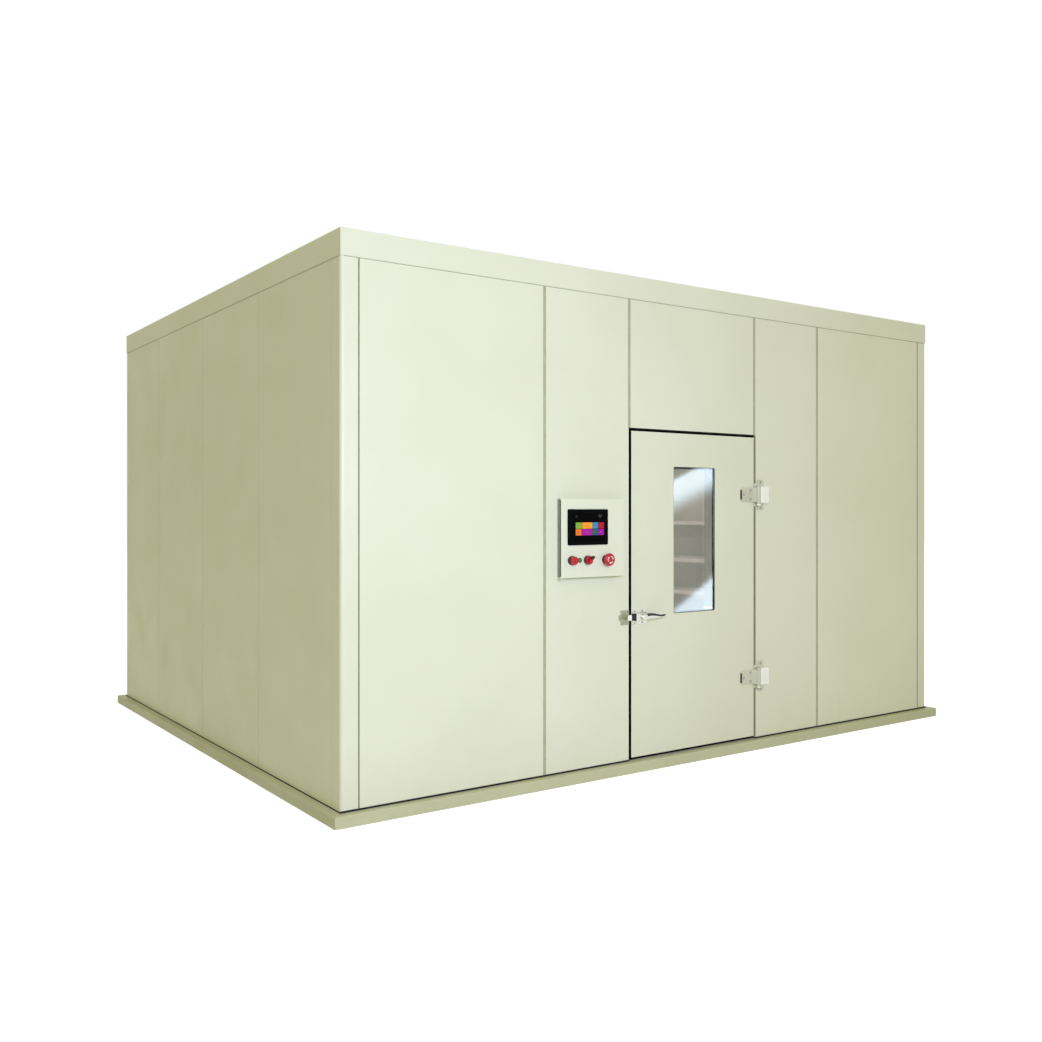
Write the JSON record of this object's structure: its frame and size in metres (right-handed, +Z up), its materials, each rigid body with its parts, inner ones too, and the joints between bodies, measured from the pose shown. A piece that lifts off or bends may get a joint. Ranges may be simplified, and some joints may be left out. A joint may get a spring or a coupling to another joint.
{
  "type": "environmental test chamber",
  "caption": "Walk-in insulated panel chamber with a hinged windowed door, a hinged control box, an air cooler with fans under its ceiling, and a rear condensing unit.",
  "frame": {"origin": "centre of the base underside, on the floor and midway along and across the room", "axes": "+X along the front wall from left to right seen from outside, the front wall faces -Y, +Z up"},
  "size_m": [4.94, 4.6173, 2.96],
  "materials": {
    "panel_paint": "satin",
    "base_paint": "satin",
    "fascia_paint": "satin",
    "door_paint": "satin",
    "box_paint": "satin",
    "floor_steel": "satin",
    "sheet_steel": "satin",
    "seam_seal": "matte",
    "gasket_rubber": "matte",
    "frame_plastic": "satin",
    "window_aluminium": "satin",
    "window_glass": "gloss",
    "hinge_metal": "satin",
    "latch_metal": "polished",
    "pin_steel": "satin",
    "white_plastic": "gloss",
    "black_nylon": "matte",
    "green_plastic": "gloss",
    "screen_plastic": "satin",
    "screen_display": "gloss",
    "black_plastic": "gloss",
    "red_plastic": "gloss",
    "lamp_lens": "gloss",
    "zinc_sheet": "satin",
    "grey_plastic": "matte",
    "cooler_sheet": "satin",
    "fin_aluminium": "satin",
    "drain_plastic": "satin",
    "fan_aluminium": "satin",
    "guard_wire": "satin",
    "motor_paint": "satin",
    "unit_paint": "satin",
    "compressor_paint": "satin",
    "copper_pipe": "satin",
    "opal_shade": "satin",
    "rack_steel": "satin"
  },
  "bodies": {
    "root": {"base_frame": "base_paint", "floor_panels": "panel_paint", "floor_plate": "floor_steel", "corner_posts": "panel_paint", "front_wide_panels": "panel_paint", "control_wall_panel": "panel_paint", "header_panel": "panel_paint", "hinge_wall_panel": "panel_paint", "side_wall_panels": "panel_paint", "rear_wall_panels": "panel_paint", "ceiling_panels": "panel_paint", "roof_fascia": "fascia_paint", "wall_seals": "seam_seal", "door_frame": "frame_plastic", "threshold": "sheet_steel", "hinge_plates": "hinge_metal", "hinge_pins": "pin_steel", "hinge_covers": "white_plastic", "latch_strike": "latch_metal", "control_box_housing": "box_paint", "mounting_plate": "zinc_sheet", "control_modules": "grey_plastic", "cooler_casing": "cooler_sheet", "cooler_coil": "fin_aluminium", "drip_tray": "cooler_sheet", "drain_pipe": "drain_plastic", "fan_guards": "guard_wire", "fan_motors": "motor_paint", "condenser_housing": "unit_paint", "condenser_coil": "fin_aluminium", "compressor": "compressor_paint", "unit_brackets": "zinc_sheet", "refrigerant_pipes": "copper_pipe", "ceiling_lamp_base": "white_plastic", "ceiling_lamp_shade": "opal_shade", "rack_posts": "rack_steel", "rack_shelves": "rack_steel", "temperature_probe": "sheet_steel"},
    "door": {"door_leaf": "door_paint", "door_gasket": "gasket_rubber", "window_frame": "window_aluminium", "window_panes": "window_glass", "hinge_straps": "hinge_metal", "latch_body": "latch_metal"},
    "latch_handle": {"latch_lever": "latch_metal", "latch_spindle": "pin_steel", "inside_handle": "green_plastic"},
    "bolt": {"latch_bolt": "black_nylon"},
    "box_door": {"control_box_door": "box_paint", "control_box_gasket": "gasket_rubber", "screen_bezel": "screen_plastic", "screen_glass": "screen_display", "button_collars": "black_plastic", "run_lamp": "lamp_lens"},
    "stop_cap": {"stop_button": "red_plastic"},
    "selector": {"selector_knob": "red_plastic"},
    "emergency_head": {"emergency_stop": "red_plastic"},
    "fan_left": {"cooler_rotor_left": "fan_aluminium"},
    "fan_right": {"cooler_rotor_right": "fan_aluminium"},
    "fan_outdoor": {"condenser_rotor": "fan_aluminium"}
  },
  "joints": [
    {"name": "door_swing", "type": "hinge", "parent": "root", "child": "door", "pos_m": [0.546, -2.032, 1.06], "axis": [0, 0, 1], "range_deg": [0, 110]},
    {"name": "lever_turn", "type": "hinge", "parent": "door", "child": "latch_handle", "pos_m": [-0.457, -2, 0.919], "axis": [0, 1, 0], "range_deg": [0, 90]},
    {"name": "bolt_throw", "type": "slide", "parent": "door", "child": "bolt", "axis": [-1, 0, 0], "range_m": [0, 0.028]},
    {"name": "box_door_swing", "type": "hinge", "parent": "root", "child": "box_door", "pos_m": [-1.0765, -2.043, 1.4], "axis": [0, 0, -1], "range_deg": [0, 105]},
    {"name": "stop_press", "type": "slide", "parent": "box_door", "child": "stop_cap", "axis": [0, 1, 0], "range_m": [0, 0.004], "stiffness_N_per_m": 300},
    {"name": "selector_turn", "type": "hinge", "parent": "box_door", "child": "selector", "pos_m": [-0.8995, -2.052, 1.273], "axis": [0, 1, 0], "range_deg": [-90, 0]},
    {"name": "emergency_press", "type": "slide", "parent": "box_door", "child": "emergency_head", "axis": [0, 1, 0], "range_m": [0, 0.005]},
    {"name": "fan_left_spin", "type": "hinge", "parent": "root", "child": "fan_left", "pos_m": [-0.28, 1.286, 2.592], "axis": [0, -1, 0], "continuous": true},
    {"name": "fan_right_spin", "type": "hinge", "parent": "root", "child": "fan_right", "pos_m": [0.28, 1.286, 2.592], "axis": [0, -1, 0], "continuous": true},
    {"name": "fan_outdoor_spin", "type": "hinge", "parent": "root", "child": "fan_outdoor", "pos_m": [-0.165, 2.46, 1.85], "axis": [0, 1, 0], "continuous": true}
  ],
  "couplings": [
    {"joint": "bolt_throw", "follows": "lever_turn", "m_per_rad": 0.017824}
  ]
}
